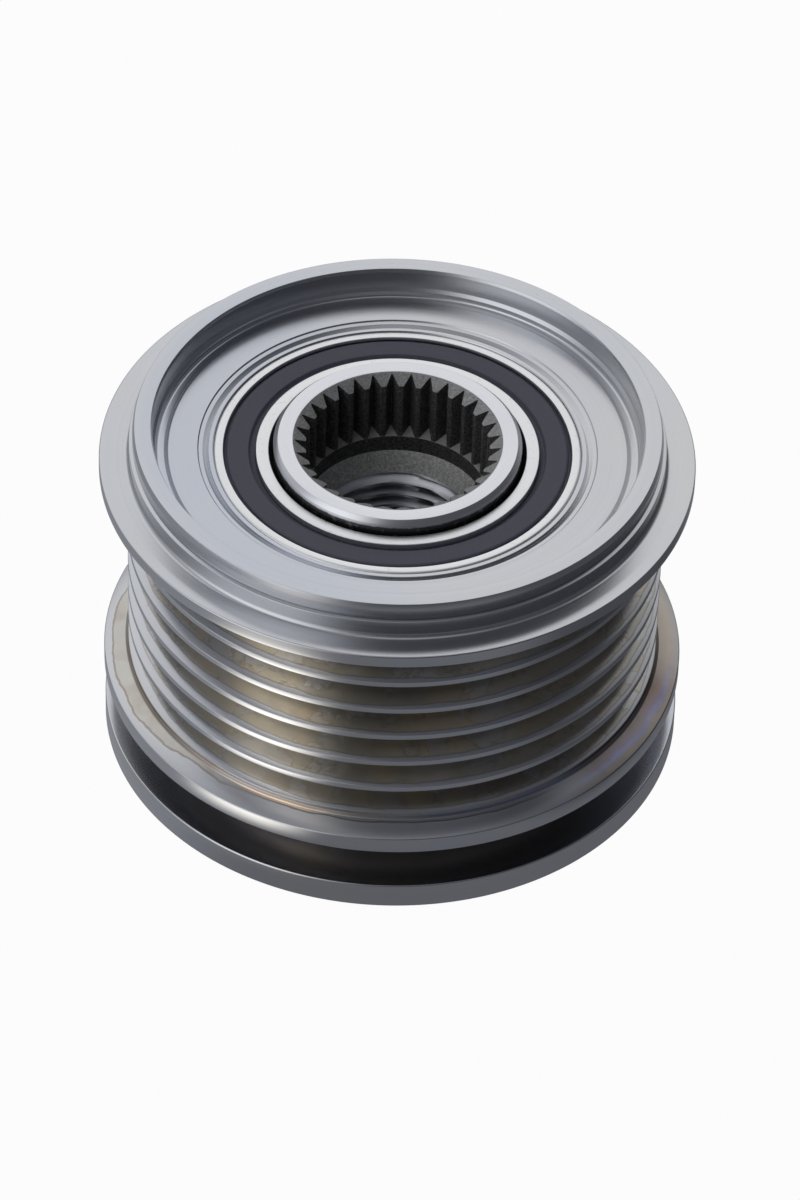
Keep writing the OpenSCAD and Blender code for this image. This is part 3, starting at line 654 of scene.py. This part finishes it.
def bearing_rows(top, bottom, up):
    """Sections of the outer ring, inner ring and outer seal of a bearing whose sealed face looks
    towards up, 1 or -1, from the faces at top and bottom: each a list of rounded corners."""
    def at(radius, depth, rounding):
        return (radius, (top if up > 0 else bottom) - up * depth, rounding)

    width = top - bottom
    edge_r = bearing_r - 1
    outer = [at(edge_r + 0.06, 0, 0.05), at(bearing_r, 0, 0.3), at(bearing_r, width, 0.3),
             at(edge_r + 0.06, width, 0.05), at(edge_r, width - 0.9, 0), at(outer_track_r, width - 0.95, 0),
             at(outer_track_r, 0.95, 0), at(edge_r, 0.95, 0), at(edge_r + 0.2, 0.7, 0),
             at(edge_r + 0.2, 0.45, 0), at(edge_r, 0.3, 0)]
    inner = [at(hub_r + 0.5, 0, 0.08), at(inner_shoulder_r, 0, 0.08), at(inner_shoulder_r, width, 0.08),
             at(hub_r + 0.5, width, 0.08), at(hub_r, width - 0.5, 0.08), at(hub_r, 0.5, 0.08)]
    seal = [at(inner_shoulder_r + 0.05, 0.93, 0), at(inner_shoulder_r + 0.05, 0.67, 0.04),
            at(inner_shoulder_r + 0.55, 0.52, 0.06), at(inner_shoulder_r + 0.72, 0.16, 0.08),
            at(15.05, 0.12, 0.06), at(16.95, 0.12, 0.08), at(17.12, 0.2, 0.05),
            at(17.2, 0.42, 0.04), at(17.62, 0.52, 0.04), at(17.62, 0.76, 0.04), at(17.45, 0.93, 0)]
    return [corners if up > 0 else corners[::-1] for corners in (outer, inner, seal)]


front_rows = bearing_rows(bearing_top, bearing_top - bearing_w, 1)
rear_rows = bearing_rows(bearing_low + bearing_w, bearing_low, -1)
for name, rows, body, material, slot in (
        ("front_outer_ring", front_rows[0], "pulley_side", ring_steel, "bearing_steel"),
        ("front_inner_ring", front_rows[1], "hub_side", ring_steel, "bearing_steel"),
        ("front_outer_seal", front_rows[2], "pulley_side", rubber, "seal_rubber"),
        ("rear_outer_seal", rear_rows[2], "pulley_side", rubber, "seal_rubber")):
    piece = turned(name + "_turned", split_long(rounded(rows), 1.0), [material])
    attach(piece, body)
    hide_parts(name)


# Parts inside
# What the bearings and the clutch hold: rings, balls in moulded cages, hardened races with
# rollers between them, and folded strip springs. They keep their CAD shapes and get a finish.
s = surface("polished_ball_steel")
place, x, y, z, radius = position(s)
haze = noise(s, place, 900, 4)
grey = s.mix(haze, (0.66, 0.665, 0.67), (0.74, 0.742, 0.75))
ball_steel = steel(s, grey, 0.08 + 0.08 * haze, haze, 0.000001)

s = surface("hardened_clutch_steel")
place, x, y, z, radius = position(s)
fine = rings(s, radius, z, 18.0)
tint = noise(s, place, 120, 4)
grey = s.mix((0.4 * fine + 0.5 * tint).clamp(), (0.47, 0.475, 0.5), (0.6, 0.6, 0.6))
clutch_steel = steel(s, grey, 0.22 + 0.1 * fine, fine, 0.000004, 0.3)

s = surface("spring_strip_steel")
place, x, y, z, radius = position(s)
lengthwise = {"W": z * 9.0, "Scale": 1.0, "Detail": 3.0}
rolled = s.node("ShaderNodeTexNoise", {"noise_dimensions": "1D"}, lengthwise)
grey = s.mix(rolled, (0.5, 0.5, 0.51), (0.66, 0.66, 0.67))
spring_steel = steel(s, grey, 0.24 + 0.12 * rolled, rolled, 0.000003)


def moulded(name, dark, light):
    """Matt moulded plastic with a fine spark-eroded grain and faint flow clouds."""
    s = surface(name)
    place = position(s)[0]
    grain = noise(s, place, 5200, 3)
    flow = noise(s, place, 260, 4)
    bump = s.node("ShaderNodeBump", {}, {"Height": grain, "Distance": 0.00001, "Strength": 1.0})
    inputs = {"Base Color": s.mix(flow, dark, light), "Roughness": 0.42 + 0.2 * grain, "Normal": bump}
    s.node("ShaderNodeOutputMaterial", {}, {"Surface": s.node("ShaderNodeBsdfPrincipled", {}, inputs)})
    return s.material


inside = {
    "ball_steel": ball_steel, "clutch_steel": clutch_steel, "spring_steel": spring_steel,
    "bearing_steel": ring_steel, "seal_rubber": rubber,
    "ball_cage_polymer": moulded("ball_cage_polymer", (0.5, 0.41, 0.22), (0.62, 0.53, 0.31)),
    "clutch_cage_polymer": moulded("clutch_cage_polymer", (0.028, 0.028, 0.031), (0.05, 0.05, 0.054))}
replaced = {"pulley", "hub", "front_outer_ring", "front_inner_ring", "front_outer_seal", "rear_outer_seal"}
slots = {part["node"]: part["material_slot"] for part in frame["record"]["subparts"]}
for node, slot in slots.items():
    if node not in replaced:
        solid = frame["nodes"][node]
        solid.data.materials.clear()
        solid.data.materials.append(inside[slot])
